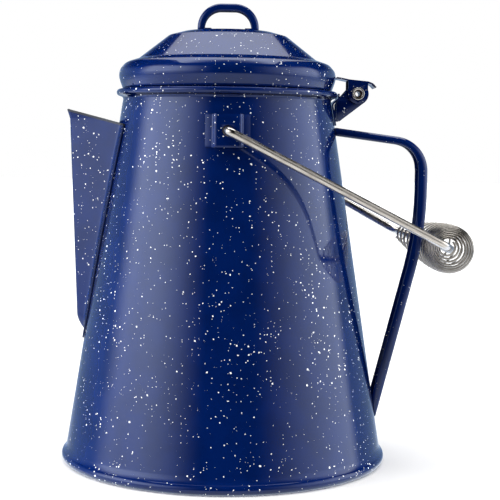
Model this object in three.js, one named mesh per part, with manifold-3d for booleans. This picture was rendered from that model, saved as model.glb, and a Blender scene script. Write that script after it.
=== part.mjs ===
// Camp coffee percolator in enamelled steel: a tapered pot with a folded spout, a channel side handle,
// a swinging wire bail with a coiled grip, a hinged lid, and the pump and coffee basket inside.
//
// Millimetres, +Z up. The origin is the centre of the base's underside. +X points at the side handle
// and the lid hinge, -X at the spout, and the bail pivots about an axis along Y.

import * as THREE from "three";
import { mergeVertices } from "three/addons/utils/BufferGeometryUtils.js";
import Module from "manifold-3d";

// Driving dimensions
const SHEET = 0.9; // steel sheet with its enamel
const GAP = 0.3; // kept between pieces that touch
const ROUND = 48; // segments round the pot
const BASKET_ROUND = 40; // segments round the basket and its cover
const SMALL_ROUND = 16; // segments round tubes, pins and collars

const POT = {
  beadRadius: 92.5, // outside of the seam bead at the foot
  beadTube: 3.2, // radius of the seam bead's section
  taper: 0.157, // wall radius gained per millimetre down
  neckRadius: 58.7, // wall radius at the neck
  neckZ: 205.2,
  rimRadius: 62.5,
  rimTube: 1.9, // radius of the rolled rim's section
  rimZ: 209.8, // top of the rolled rim
  footZ: 7, // where the wall meets its turned-out foot
};
const SPOUT = {
  rootZ: 72, // where the front edge leaves the wall
  rootInset: 5.2, // how far the root lies inside the knuckle
  knuckleZ: 83, // below this the front edge curves into the wall
  knuckleX: 84.7,
  lean: 0.0385, // outward lean of the front edge
  beakZ: 193, // above this the edge flares into the beak
  beakFlare: 0.33,
  tip: { x: 90.9, z: 198.9 },
  heel: { x: 60.3, z: 191.2 }, // where the top edge meets the wall
  noseRadius: 3,
  footHalfWidth: 10.5,
  topHalfWidth: 25.8,
  flange: 2.5, // width of the strips welded to the wall
};
const STRAINER = { rows: 9, singleRows: 3, lowZ: 98, pitch: 10, spreadDeg: 5.5, holeRadius: 2.1 };
const LID = { crownZ: 243.4, hingeX: 73.6, hingeZ: 209, skirtRadius: 56.6, skirtZ: 201.3 };
const LID_HANDLE = { baseZ: 243.8, topZ: 258.4, outerHalf: 17.4, depth: 4.1, halfY: 5, corner: 13.5 };
const HINGE = {
  boreRadius: 2.9, // holes through the ears and arms
  armRadius: 6.2,
  armInnerY: 5.3,
  earRadius: 5.6,
  earInnerY: 6.65,
  leafHalf: 7.6, // half the width of the lid's strap
  padHalf: 9, // half the width of the pad welded to the neck
  padX: 64,
  pin: { bore: 1.5, shank: 2.55, head: 3.6, headHeight: 0.9, half: 7.9 },
};
const BAIL = {
  pivotZ: 186.5,
  wire: 2.2, // wire radius
  headY: 65.4, // inner face of the upset heads inside the lugs
  headRadius: 3.7,
  headLength: 2.5,
  shoulderY: 75, // where the arm turns away from the lug
  near: [118.6, -50, 126.4], // ends and middle of the bowed grip, which sits a little askew
  middle: [127.6, 2, 121.4],
  far: [103.6, 50, 128.8],
};
const COIL = { margin: 0.06, wire: 0.85, turns: 19.5, endRadius: 4, midRadius: 13.7, swell: 0.75 };
const LUG = { halfWidth: 7.75, halfHeight: 8.7, faceY: 69.9, holeRadius: 2.8, flange: 4 };
const HANDLE = { halfWidth: 7, depth: 4.4 };
const PUMP = { radius: 4.75, wall: 0.75, bottomZ: 3, topZ: 224, footRadius: 33, collarZ: 137 };
const BASKET = {
  bottomZ: 140.4,
  rimZ: 198,
  bottomRadius: 45,
  topRadius: 47.4,
  rimRadius: 49.6,
  boreRadius: 7.2, // hole in the floor for the sleeve
  perforation: 1.3, // radius of the small holes
  rings: [
    [14, 6],
    [24, 10],
    [34, 14],
  ], // radius and count of each ring of small holes
};
const SLEEVE = { clearance: 0.5, wall: 0.8, flangeRadius: 10, topZ: 193.5 };
const SPREADER = { plateZ: 195, hubClearance: 0.9, hubZ: 197.5 };

const wasm = await Module();
wasm.setup();

// Materials

function enamel(color = 0x16306f) {
  return new THREE.MeshStandardMaterial({ color, roughness: 0.14, metalness: 0 });
}

function metal(color, roughness) {
  return new THREE.MeshStandardMaterial({ color, roughness, metalness: 1 });
}

const brightSteel = () => metal(0xc9c3b8, 0.28);
const rivetSteel = () => metal(0xd8d4cb, 0.3);
const spunAluminium = () => metal(0xc4c6c8, 0.42);

// Conversions between three.js geometry and solids that can be joined and cut

function toSolid(geometry) {
  const bare = geometry.index ? geometry.toNonIndexed() : geometry.clone();
  bare.deleteAttribute("normal");
  bare.deleteAttribute("uv");
  const merged = mergeVertices(bare, 1e-4);
  return new wasm.Manifold(
    new wasm.Mesh({
      numProp: 3,
      vertProperties: merged.attributes.position.array,
      triVerts: new Uint32Array(merged.index.array),
    }),
  );
}

function toGeometry(solid) {
  const mesh = solid.getMesh();
  const geometry = new THREE.BufferGeometry();
  geometry.setAttribute("position", new THREE.BufferAttribute(mesh.vertProperties, 3));
  geometry.setIndex(new THREE.BufferAttribute(mesh.triVerts, 1));
  geometry.computeVertexNormals();
  return geometry;
}

const join = (solids) => solids.reduce((all, one) => all.add(one));

// Outlines

const wallRadius = (z) => POT.neckRadius + POT.taper * (POT.neckZ - z);

function arc(cx, cy, radius, fromDeg, toDeg, steps) {
  const points = [];
  for (let i = 0; i <= steps; i += 1) {
    const a = THREE.MathUtils.degToRad(THREE.MathUtils.lerp(fromDeg, toDeg, i / steps));
    points.push([cx + radius * Math.cos(a), cy + radius * Math.sin(a)]);
  }
  return points;
}

// Moves an open line sideways, to its right, by a distance, keeping its corners sharp.
function offsetLine(line, distance) {
  const points = line.map(([x, y]) => new THREE.Vector2(x, y));
  const normals = points.slice(1).map((p, i) => {
    const along = p.clone().sub(points[i]).normalize();
    return new THREE.Vector2(along.y, -along.x);
  });
  return points.map((p, i) => {
    const before = normals[Math.max(i - 1, 0)];
    const after = normals[Math.min(i, normals.length - 1)];
    const mitre = before.clone().add(after).normalize();
    const moved = p.clone().addScaledVector(mitre, distance / mitre.dot(after));
    return [moved.x, moved.y];
  });
}

// Replaces the corners of a polyline of [x, y, cornerRadius] with arcs.
function roundedLine(corners, steps = 6) {
  return corners.flatMap(([x, y, radius = 0], i) => {
    if (!radius) return [[x, y]];
    const corner = new THREE.Vector2(x, y);
    const back = new THREE.Vector2(...corners[i - 1].slice(0, 2)).sub(corner).normalize();
    const ahead = new THREE.Vector2(...corners[i + 1].slice(0, 2)).sub(corner).normalize();
    const half = Math.acos(back.dot(ahead)) / 2;
    const middle = back.clone().add(ahead).normalize();
    const centre = corner.clone().addScaledVector(middle, radius / Math.sin(half));
    const start = corner.clone().addScaledVector(back, radius / Math.tan(half)).sub(centre);
    const end = corner.clone().addScaledVector(ahead, radius / Math.tan(half)).sub(centre);
    const sweep = Math.atan2(start.cross(end), start.dot(end));
    return Array.from({ length: steps + 1 }, (_, k) => {
      const turned = start.clone().rotateAround(new THREE.Vector2(), (sweep * k) / steps);
      return [centre.x + turned.x, centre.y + turned.y];
    });
  });
}

// Basic solids

// Revolves a (radius, height) outline, listed anticlockwise, about Z.
function revolve(outline, segments = ROUND) {
  const points = outline.map(([r, z]) => new THREE.Vector2(r, z));
  return new THREE.LatheGeometry(points, segments).rotateX(Math.PI / 2);
}

const revolveRing = (outline, segments) => revolve([...outline, outline[0]], segments);

// A flat plate drawn in X and Z, between two values of Y.
function plate(outline, yMin, yMax) {
  const shape = new THREE.Shape(outline.map(([x, z]) => new THREE.Vector2(x, z)));
  return new THREE.ExtrudeGeometry(shape, { depth: yMax - yMin, bevelEnabled: false })
    .rotateX(Math.PI / 2)
    .translate(0, yMax, 0);
}

function box(xMin, xMax, yMin, yMax, zMin, zMax) {
  return new THREE.BoxGeometry(xMax - xMin, yMax - yMin, zMax - zMin).translate(
    (xMin + xMax) / 2,
    (yMin + yMax) / 2,
    (zMin + zMax) / 2,
  );
}

// A cylinder along Y, for pins and the holes they go through.
function rodAlongY(radius, x, z, yMin, yMax) {
  const rod = new THREE.CylinderGeometry(radius, radius, yMax - yMin, SMALL_ROUND);
  return rod.translate(x, (yMin + yMax) / 2, z);
}

// The pot's cone, grown by a distance, as a cutter that shapes whatever is welded to the wall.
function potCone(grow, zMin = 1, zMax = 208) {
  return revolve([
    [0, zMin],
    [wallRadius(zMin) + grow, zMin],
    [wallRadius(zMax) + grow, zMax],
    [0, zMax],
  ]);
}

// Skins a stack of rings that hold the same number of points.
function loft(rings) {
  const size = rings[0].length;
  const positions = rings.flat(2);
  const centre = (ring) => ring.reduce((sum, p) => sum.map((v, k) => v + p[k] / size), [0, 0, 0]);
  const bottom = positions.length / 3;
  positions.push(...centre(rings[0]), ...centre(rings[rings.length - 1]));
  const faces = [];
  for (let i = 0; i < size; i += 1) {
    const next = (i + 1) % size;
    for (let k = 0; k < rings.length - 1; k += 1) {
      const [a, b] = [k * size + i, k * size + next];
      faces.push(a, b, b + size, a, b + size, a + size);
    }
    const top = (rings.length - 1) * size;
    faces.push(bottom, next, i, bottom + 1, top + i, top + next);
  }
  const geometry = new THREE.BufferGeometry();
  geometry.setAttribute("position", new THREE.Float32BufferAttribute(positions, 3));
  geometry.setIndex(faces);
  return geometry;
}

// Sweeps a round section along a smooth curve through the points.
function sweep(points, radius, sides, steps) {
  const path = new THREE.CatmullRomCurve3(points, false, "centripetal");
  path.arcLengthDivisions = steps * 4;
  const shape = new THREE.Shape(
    arc(0, 0, radius, 0, 360, sides)
      .slice(0, sides)
      .map(([x, y]) => new THREE.Vector2(x, y)),
  );
  return new THREE.ExtrudeGeometry(shape, { steps, extrudePath: path, bevelEnabled: false });
}

// Pot

// Rows of punched holes through the wall behind the spout, which hold back the grounds.
function strainerCutters() {
  const { rows, singleRows, lowZ, pitch, spreadDeg, holeRadius } = STRAINER;
  const holes = [];
  for (let row = 0; row < rows; row += 1) {
    const z = lowZ + row * pitch;
    const columns = row < singleRows ? [0] : [-spreadDeg, 0, spreadDeg];
    for (const angle of columns) {
      const hole = new THREE.CylinderGeometry(holeRadius, holeRadius, 8, 6).rotateZ(Math.PI / 2);
      hole.translate(-wallRadius(z), 0, z).rotateZ(THREE.MathUtils.degToRad(angle));
      holes.push(toSolid(hole));
    }
  }
  return holes;
}

function bodyWall() {
  const foot = [
    [88.7, 2.4],
    [91, 2.4],
    [91, 3.3],
    [90, 4.6],
    [wallRadius(POT.footZ), POT.footZ],
  ];
  const tube = POT.rimTube;
  const rimBead = arc(POT.rimRadius - tube, POT.rimZ - tube, tube, -90, 90, 4);
  const outline = [
    ...foot,
    [POT.neckRadius, POT.neckZ],
    [POT.neckRadius + 0.6, POT.neckZ + 0.8],
    ...rimBead,
    [POT.neckRadius + 0.2, POT.rimZ],
    [POT.neckRadius - SHEET, POT.rimZ - 1.2],
    [POT.neckRadius - SHEET, POT.neckZ],
    [wallRadius(POT.footZ) - SHEET, POT.footZ],
    [88.8, 4.4],
  ];
  const shell = toSolid(revolveRing(outline));
  return toGeometry(strainerCutters().reduce((wall, hole) => wall.subtract(hole), shell));
}

// A flat pan with a pressed stiffening ring, its edge curled round the wall's foot as a bead.
function bottomPan() {
  const centreR = POT.beadRadius - POT.beadTube;
  return revolve([
    [0, 0],
    [66, 0],
    [67, 1.1],
    [70, 1.1],
    [71, 0],
    ...arc(centreR, POT.beadTube, POT.beadTube, -90, 65, 7),
    ...arc(centreR, POT.beadTube, POT.beadTube - SHEET, 65, -90, 4),
    [71.4, SHEET],
    [70.4, 2],
    [66.6, 2],
    [65.6, SHEET],
    [0, SHEET],
  ]);
}

// Distance of the spout's front edge from the axis.
function spoutFront(z) {
  if (z > SPOUT.beakZ) return spoutFront(SPOUT.beakZ) + SPOUT.beakFlare * (z - SPOUT.beakZ);
  if (z > SPOUT.knuckleZ) return SPOUT.knuckleX + SPOUT.lean * (z - SPOUT.knuckleZ);
  const drop = (SPOUT.knuckleZ - z) / (SPOUT.knuckleZ - SPOUT.rootZ);
  return SPOUT.knuckleX - SPOUT.rootInset * drop * drop;
}

function spoutHalfWidth(z) {
  const up = (z - SPOUT.rootZ) / (SPOUT.tip.z - SPOUT.rootZ);
  return THREE.MathUtils.lerp(SPOUT.footHalfWidth, SPOUT.topHalfWidth, THREE.MathUtils.clamp(up, 0, 1));
}

// The spout's plan at one height: two straight sides that meet in a rounded nose, drawn in by an inset.
function spoutSection(z, inset, topZ = z) {
  const radius = SPOUT.noseRadius - inset;
  const backX = wallRadius(z) - 8;
  const halfWidth = spoutHalfWidth(z) - inset;
  const nose = arc(-(spoutFront(z - inset) - inset - radius), 0, radius, 105, 255, 8);
  return [[-backX, halfWidth], ...nose, [-backX, -halfWidth]].map(([x, y]) => [x, y, topZ]);
}

const SPOUT_LEVELS = [68, 70, 72, 74, 76, 78, 80.5, SPOUT.knuckleZ, 115, 150, 180, SPOUT.beakZ, 202];

function spoutShell() {
  const outer = toSolid(loft(SPOUT_LEVELS.map((z) => spoutSection(z, 0))));
  const cavityLevels = SPOUT_LEVELS.slice(3).map((z, i, all) => (i === all.length - 1 ? z + 4 : z));
  const cavity = toSolid(loft(cavityLevels.map((z) => spoutSection(z, SHEET))));
  const strip = toSolid(potCone(GAP + SHEET, 62, 206))
    .intersect(toSolid(loft([66, 204].map(spoutFlangePlan))))
    .subtract(cavity);
  const slope = (SPOUT.tip.z - SPOUT.heel.z) / (SPOUT.tip.x - SPOUT.heel.x);
  const cutAt = (x) => SPOUT.heel.z + slope * (-x - SPOUT.heel.x);
  const above = plate(
    [
      [-110, cutAt(-110)],
      [-40, cutAt(-40)],
      [-40, 230],
      [-110, 230],
    ],
    -40,
    40,
  );
  const welded = outer.subtract(cavity).add(strip);
  return toGeometry(welded.subtract(toSolid(potCone(GAP))).subtract(toSolid(above)));
}

// The strip that the spout's weld flanges cover on the wall.
function spoutFlangePlan(z) {
  const halfWidth = spoutHalfWidth(z) + SPOUT.flange - 2;
  const [outerX, innerX] = [wallRadius(z) + 6, wallRadius(z) - 10];
  return [
    [-innerX, halfWidth, z],
    [-outerX, halfWidth, z],
    [-outerX, -halfWidth, z],
    [-innerX, -halfWidth, z],
  ];
}

// The side handle's outer face, from the wall below the hinge to the weld near the foot.
function handleLine() {
  return roundedLine(
    [
      [50, 191.3],
      [114.6, 183, 20],
      [114.6, 131, 200],
      [88.2, 25.4],
    ],
    8,
  );
}

function sideHandle() {
  const outer = handleLine();
  const band = (from, to) => [...offsetLine(outer, from), ...offsetLine(outer, to).reverse()];
  const block = toSolid(plate(band(0, HANDLE.depth).reverse(), -HANDLE.halfWidth, HANDLE.halfWidth));
  const inside = HANDLE.halfWidth - SHEET;
  const channel = toSolid(plate(band(SHEET, HANDLE.depth + 3).reverse(), -inside, inside));
  return toGeometry(block.subtract(channel).subtract(toSolid(potCone(GAP, -10, 211))));
}

// A hat-section lug on the front of the wall, bored for the bail. The rear one is the same, turned round.
function bailLug() {
  const [low, high] = [BAIL.pivotZ - LUG.halfHeight, BAIL.pivotZ + LUG.halfHeight];
  const raised = toSolid(box(-LUG.halfWidth, LUG.halfWidth, -LUG.faceY, -50, low, high));
  const inside = LUG.halfWidth - SHEET;
  const hollow = toSolid(box(-inside, inside, -LUG.faceY + SHEET, -45, low - 5, high + 5));
  const wide = LUG.halfWidth + LUG.flange;
  const flanges = toSolid(box(-wide, wide, -80, -50, low - 0.5, high)).intersect(
    toSolid(potCone(GAP + SHEET, 150, 208)),
  );
  const hole = toSolid(rodAlongY(LUG.holeRadius, 0, BAIL.pivotZ, -80, -67));
  const lug = raised.add(flanges).subtract(hollow).subtract(hole);
  return toGeometry(lug.subtract(toSolid(potCone(GAP, 150, 208))));
}

// A cutter for the holes that the hinge pin goes through.
function hingeBore(radius) {
  return toSolid(rodAlongY(radius, LID.hingeX, LID.hingeZ, -10, 10));
}

// A pad hooked under the rim, with two arms that carry the hinge pin.
function hingeBracket() {
  const { padX, padHalf, armRadius, armInnerY, boreRadius } = HINGE;
  const block = toSolid(box(padX - 7, padX, -padHalf, padHalf, 191, 208.8));
  const pad = block.subtract(toSolid(potCone(GAP, 150, 208)));
  const clearX = POT.rimRadius + GAP;
  const rimClear = revolveRing([
    [50, POT.neckZ - 0.4],
    [clearX, POT.neckZ - 0.4],
    [clearX, 220],
    [50, 220],
  ]);
  const armOutline = [
    [padX - 0.7, 206.2],
    [padX - 0.7, 193.4],
    ...arc(LID.hingeX, LID.hingeZ, armRadius, -56, 124, 10),
  ];
  const arms = [-armInnerY - SHEET, armInnerY].map((y) => toSolid(plate(armOutline, y, y + SHEET)));
  const bracket = join([pad.subtract(toSolid(rimClear)), ...arms]);
  return toGeometry(bracket.subtract(hingeBore(boreRadius)));
}

// A hollow rivet with spun-over ends.
function hingePin() {
  const { shank, head, bore, half, headHeight } = HINGE.pin;
  const [end, edge] = [half + headHeight, half + headHeight / 2];
  const outline = [
    [bore, -half],
    [bore + 0.5, -end],
    [head - 0.6, -end],
    [head, -edge],
    [head, -half],
    [shank, -half],
    [shank, half],
    [head, half],
    [head, edge],
    [head - 0.6, end],
    [bore + 0.5, end],
    [bore, half],
  ];
  return revolveRing(outline, SMALL_ROUND).rotateX(Math.PI / 2);
}

// Lid

// The lid's upper surface, from the centre out over the dome, the rolled edge and down the skirt.
function lidLine() {
  return [
    [0, LID.crownZ],
    [13, LID.crownZ],
    [25, 242.6],
    [33.4, 240.3],
    [50.4, 227],
    [54.7, 225.7],
    [57.4, 224.4],
    [59.5, 222.6],
    [60.8, 220.3],
    [61.4, 217],
    [60.5, 214],
    [59.1, POT.rimZ + GAP],
    [LID.skirtRadius + 0.4, POT.rimZ + GAP],
    [LID.skirtRadius, POT.rimZ - 0.4],
    [LID.skirtRadius, LID.skirtZ],
  ];
}

function lidShell() {
  const outer = lidLine();
  return revolve([...offsetLine(outer, SHEET), ...outer.reverse()]);
}

// An arched channel, feet turned in and welded to the lid.
function lidHandle() {
  const { baseZ, topZ, outerHalf, depth, halfY, corner } = LID_HANDLE;
  const corners = [
    [-outerHalf, baseZ - 3],
    [-outerHalf + 0.7, topZ, corner],
    [outerHalf - 0.7, topZ, corner],
    [outerHalf, baseZ - 3],
  ];
  const outer = roundedLine(corners, 8);
  const band = (from, to) => [...offsetLine(outer, from), ...offsetLine(outer, to).reverse()];
  const arch = toSolid(plate(band(0, depth).reverse(), -halfY, halfY));
  const hollow = toSolid(plate(band(SHEET, depth + 2).reverse(), -halfY + SHEET, halfY - SHEET));
  const below = toSolid(box(-30, 30, -20, 20, baseZ - 10, baseZ));
  const feet = [-1, 1].map((side) => {
    const [a, b] = [side * (outerHalf - 0.5), side * (outerHalf - 8)];
    return toSolid(box(Math.min(a, b), Math.max(a, b), -halfY, halfY, baseZ - 1, baseZ + SHEET));
  });
  return toGeometry(join([arch.subtract(hollow), ...feet]).subtract(below));
}

// A strap welded to the rolled edge, with ears bent down over the bracket's arms and a turned-down tail.
function lidHingeLeaf() {
  const { leafHalf, earInnerY, earRadius, boreRadius } = HINGE;
  const top = [
    [59.5, 218.5],
    [63.5, 218],
    [68.5, 217],
    [79.4, 216],
    [82, 215],
    [84, 212.9],
  ];
  const strap = toSolid(plate([...offsetLine(top, SHEET), ...top.reverse()], -leafHalf, leafHalf));
  const earOutline = [
    [LID.hingeX - earRadius, 216.6],
    ...arc(LID.hingeX, LID.hingeZ, earRadius, 180, 360, 10),
    [LID.hingeX + earRadius, 215.6],
  ];
  const thickness = leafHalf - earInnerY;
  const ears = [-leafHalf, earInnerY].map((y) => toSolid(plate(earOutline, y, y + thickness)));
  const rolledEdge = lidLine().slice(7, 11).reverse();
  const lidClear = revolve([[0, 205], ...rolledEdge.map(([r, z]) => [r + GAP, z]), [0, 240]]);
  const leaf = join([strap, ...ears]).subtract(hingeBore(boreRadius));
  return toGeometry(leaf.subtract(toSolid(lidClear)));
}

// Bail

const vector = (point) => new THREE.Vector3(...point);

// The bowed centre line of the grip.
function gripCurve() {
  return new THREE.CatmullRomCurve3([vector(BAIL.near), vector(BAIL.middle), vector(BAIL.far)]);
}

// Rounds a corner of the wire with a short curve that starts and ends a set distance from it.
function bend(from, corner, to, reach) {
  const start = corner.clone().add(from.clone().sub(corner).setLength(reach));
  const end = corner.clone().add(to.clone().sub(corner).setLength(reach));
  return new THREE.QuadraticBezierCurve3(start, corner, end).getPoints(5);
}

// One wire, from its upset head inside the front lug, round the grip, to the head inside the rear lug.
function bailWire() {
  const onPivot = (y) => new THREE.Vector3(0, y, BAIL.pivotZ);
  const endY = BAIL.headY + BAIL.headLength / 2;
  const [nearEnd, nearShoulder] = [onPivot(-endY), onPivot(-BAIL.shoulderY)];
  const [farEnd, farShoulder] = [onPivot(endY), onPivot(BAIL.shoulderY)];
  const grip = gripCurve().getPoints(12);
  const points = [
    nearEnd,
    ...bend(nearEnd, nearShoulder, grip[0], 4),
    nearShoulder.clone().lerp(grip[0], 0.5),
    ...bend(nearShoulder, grip[0], grip[1], 5),
    ...grip.slice(1, -1),
    ...bend(grip[11], grip[12], farShoulder, 5),
    farShoulder.clone().lerp(grip[12], 0.5),
    ...bend(grip[12], farShoulder, farEnd, 4),
    farEnd,
  ];
  const wire = toSolid(sweep(points, BAIL.wire, 8, 64));
  const heads = [-1, 1].map((side) => {
    const [a, b] = [side * BAIL.headY, side * (BAIL.headY + BAIL.headLength)];
    return toSolid(rodAlongY(BAIL.headRadius, 0, BAIL.pivotZ, Math.min(a, b), Math.max(a, b)));
  });
  return toGeometry(join([wire, ...heads]));
}

// A barrel-shaped helix of thin wire wound round the grip to keep it cool.
function gripCoil() {
  const axis = gripCurve();
  const stepsPerTurn = 10;
  const steps = Math.round(COIL.turns * stepsPerTurn);
  const frames = axis.computeFrenetFrames(steps);
  const points = [];
  for (let i = 0; i <= steps; i += 1) {
    const along = i / steps;
    const angle = (2 * Math.PI * i) / stepsPerTurn;
    const swell = Math.sin(Math.PI * along) ** COIL.swell;
    const radius = THREE.MathUtils.lerp(COIL.endRadius, COIL.midRadius, swell);
    points.push(
      axis
        .getPointAt(COIL.margin + (1 - 2 * COIL.margin) * along)
        .addScaledVector(frames.normals[i], radius * Math.cos(angle))
        .addScaledVector(frames.binormals[i], radius * Math.sin(angle)),
    );
  }
  return sweep(points, COIL.wire, 5, steps);
}

// Pump and basket

function pumpTube() {
  const inner = PUMP.radius - PUMP.wall;
  return revolveRing(
    [
      [inner, PUMP.bottomZ],
      [PUMP.radius, PUMP.bottomZ],
      [PUMP.radius, PUMP.topZ],
      [inner, PUMP.topZ],
    ],
    SMALL_ROUND,
  );
}

// A flared bell under the tube, notched so that water can run in.
function pumpFoot() {
  const outer = [
    [PUMP.radius + GAP + SHEET, 24],
    [PUMP.radius + GAP + SHEET, 17],
    [9, 13.5],
    [18, 10],
    [29, 7.5],
    [32, 5.5],
    [PUMP.footRadius, 1.4],
  ];
  const bell = toSolid(revolveRing([...offsetLine(outer, SHEET), ...outer.reverse()], 32));
  const notches = [0, 60, 120].map((angle) =>
    toSolid(box(-40, 40, -3, 3, 0, 3.4).rotateZ(THREE.MathUtils.degToRad(angle))),
  );
  return toGeometry(notches.reduce((foot, notch) => foot.subtract(notch), bell));
}

// The ring swaged on the tube that the basket stands on.
function tubeCollar() {
  const inner = PUMP.radius + GAP;
  return revolveRing(
    [
      [inner, PUMP.collarZ],
      [inner + 3, PUMP.collarZ],
      [inner + 3.6, PUMP.collarZ + 0.8],
      [inner + 3, PUMP.collarZ + 2],
      [inner, PUMP.collarZ + 2],
    ],
    SMALL_ROUND,
  );
}

// The basket's rings of small round holes, through a level plate.
function perforations(z) {
  const size = BASKET.perforation;
  const holes = [];
  for (const [radius, count] of BASKET.rings) {
    for (let i = 0; i < count; i += 1) {
      const angle = (2 * Math.PI * i) / count;
      const hole = new THREE.CylinderGeometry(size, size, 6, 6).rotateX(Math.PI / 2);
      holes.push(toSolid(hole.translate(radius * Math.cos(angle), radius * Math.sin(angle), z)));
    }
  }
  return holes;
}

function basketCup() {
  const { bottomZ, rimZ, bottomRadius, topRadius, rimRadius, boreRadius } = BASKET;
  const outer = [
    [boreRadius, bottomZ],
    [bottomRadius - 2.4, bottomZ],
    [bottomRadius, bottomZ + 2.4],
    [topRadius, rimZ - 2],
    [rimRadius, rimZ - 1.8],
    [rimRadius, rimZ],
    [topRadius - SHEET, rimZ],
    [bottomRadius - SHEET, bottomZ + 2.7],
    [bottomRadius - 2.7, bottomZ + SHEET],
    [boreRadius, bottomZ + SHEET],
  ];
  const cup = toSolid(revolveRing(outer, BASKET_ROUND));
  return toGeometry(perforations(bottomZ).reduce((all, hole) => all.subtract(hole), cup));
}

// The chimney in the basket that slides over the pump tube, flanged under the basket's floor.
function basketSleeve() {
  const inner = PUMP.radius + SLEEVE.clearance;
  const outer = inner + SLEEVE.wall;
  const foot = PUMP.collarZ + 2 + GAP;
  return revolveRing(
    [
      [inner, foot],
      [SLEEVE.flangeRadius, foot],
      [SLEEVE.flangeRadius, foot + 0.7],
      [outer, foot + 0.8],
      [outer, SLEEVE.topZ],
      [inner, SLEEVE.topZ],
    ],
    SMALL_ROUND,
  );
}

// The perforated plate that spreads the water over the grounds and closes the basket.
function spreaderPlate() {
  const top = BASKET.rimZ + GAP;
  const { plateZ, hubClearance, hubZ } = SPREADER;
  const hub = PUMP.radius + hubClearance;
  const outline = [
    [hub, plateZ],
    [43.6, plateZ],
    [45.4, top],
    [BASKET.rimRadius, top],
    [BASKET.rimRadius, top + SHEET],
    [44.7, top + SHEET],
    [42.9, plateZ + SHEET],
    [hub + SHEET, plateZ + SHEET],
    [hub + SHEET, hubZ],
    [hub, hubZ],
  ];
  const disc = toSolid(revolveRing(outline, BASKET_ROUND));
  return toGeometry(perforations(plateZ).reduce((all, hole) => all.subtract(hole), disc));
}

// Assembly

function named(name, geometry, material) {
  const mesh = new THREE.Mesh(geometry, material);
  mesh.name = name;
  return mesh;
}

function potGroup() {
  const pin = named("hinge_pin", hingePin(), rivetSteel());
  pin.position.set(LID.hingeX, 0, LID.hingeZ);
  const rearLug = named("bail_lug_rear", bailLug(), enamel());
  rearLug.rotation.z = Math.PI;
  return new THREE.Group().add(
    named("body_wall", bodyWall(), enamel()),
    named("bottom_pan", bottomPan(), enamel()),
    named("spout_shell", spoutShell(), enamel()),
    named("side_handle", sideHandle(), enamel()),
    named("bail_lug_front", bailLug(), enamel()),
    rearLug,
    named("hinge_bracket", hingeBracket(), enamel()),
    pin,
  );
}

function lidGroup() {
  return new THREE.Group().add(
    named("lid_shell", lidShell(), enamel()),
    named("lid_handle", lidHandle(), enamel()),
    named("lid_hinge_leaf", lidHingeLeaf(), enamel()),
  );
}

function bailGroup() {
  return new THREE.Group().add(
    named("bail_wire", bailWire(), brightSteel()),
    named("grip_coil", gripCoil(), brightSteel()),
  );
}

function brewingGroup() {
  return new THREE.Group().add(
    named("pump_tube", pumpTube(), spunAluminium()),
    named("pump_foot", pumpFoot(), spunAluminium()),
    named("tube_collar", tubeCollar(), spunAluminium()),
    named("basket_cup", basketCup(), spunAluminium()),
    named("basket_sleeve", basketSleeve(), spunAluminium()),
    named("spreader_plate", spreaderPlate(), spunAluminium()),
  );
}

export default new THREE.Group().add(potGroup(), lidGroup(), bailGroup(), brewingGroup());
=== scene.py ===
"""The looks of a camp coffee percolator in speckled enamel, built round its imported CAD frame.

+X points at the side handle and the lid hinge, -X at the spout, and the bail pivots along Y.
Shapes are worked out in millimetres and turned into metres when a mesh is made.
"""

import math

import bmesh
import bpy
from mathutils import Matrix, Vector


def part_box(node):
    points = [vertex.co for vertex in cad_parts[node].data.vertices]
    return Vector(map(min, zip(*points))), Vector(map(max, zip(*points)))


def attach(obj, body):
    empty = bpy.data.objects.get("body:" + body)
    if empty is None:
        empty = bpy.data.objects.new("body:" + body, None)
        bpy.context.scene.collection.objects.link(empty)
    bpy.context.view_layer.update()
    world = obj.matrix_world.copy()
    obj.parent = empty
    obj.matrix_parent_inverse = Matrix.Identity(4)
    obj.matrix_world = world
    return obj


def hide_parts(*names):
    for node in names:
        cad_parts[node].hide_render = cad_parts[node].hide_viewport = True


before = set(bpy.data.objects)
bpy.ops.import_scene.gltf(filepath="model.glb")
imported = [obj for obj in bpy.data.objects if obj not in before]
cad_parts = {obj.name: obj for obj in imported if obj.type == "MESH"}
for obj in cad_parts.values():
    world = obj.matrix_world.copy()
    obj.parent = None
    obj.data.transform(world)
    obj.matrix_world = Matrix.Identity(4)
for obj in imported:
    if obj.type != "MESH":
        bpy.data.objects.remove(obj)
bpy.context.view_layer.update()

MM = 0.001


# Sizes, in millimetres. Boxes of the CAD nodes give what they can.


def box_mm(node):
    low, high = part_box(node)
    return low / MM, high / MM


WALL_HIGH = box_mm("body_wall")[1]
PAN_HIGH = box_mm("bottom_pan")[1]
SPOUT_LOW, SPOUT_HIGH = box_mm("spout_shell")
HANDLE_LOW, HANDLE_HIGH = box_mm("side_handle")
LUG_LOW, LUG_HIGH = box_mm("bail_lug_front")
LID_LOW, LID_HIGH = box_mm("lid_shell")
GRIP_LOW, GRIP_HIGH = box_mm("lid_handle")
LEAF_HIGH = box_mm("lid_hinge_leaf")[1]
PIN_LOW, PIN_HIGH = box_mm("hinge_pin")
TUBE_LOW, TUBE_HIGH = box_mm("pump_tube")
BELL_HIGH = box_mm("pump_foot")[1]
COLLAR_LOW, COLLAR_HIGH = box_mm("tube_collar")
CUP_LOW, CUP_HIGH = box_mm("basket_cup")
SLEEVE_LOW, SLEEVE_HIGH = box_mm("basket_sleeve")
DISC_LOW, DISC_HIGH = box_mm("spreader_plate")

SHEET = 0.9  # steel sheet with its enamel
GAP = 0.3  # between pieces that touch
ROUND = 192  # segments round the pot
SMALL_ROUND = 48  # segments round tubes and pins
EDGE = 0.28  # rounding of sheet edges
PRESSED_EDGE = 0.38  # rounding where the enamel is thick, on channels and lugs
SHARP_EDGE = 0.2  # rounding of the inner pieces

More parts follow.
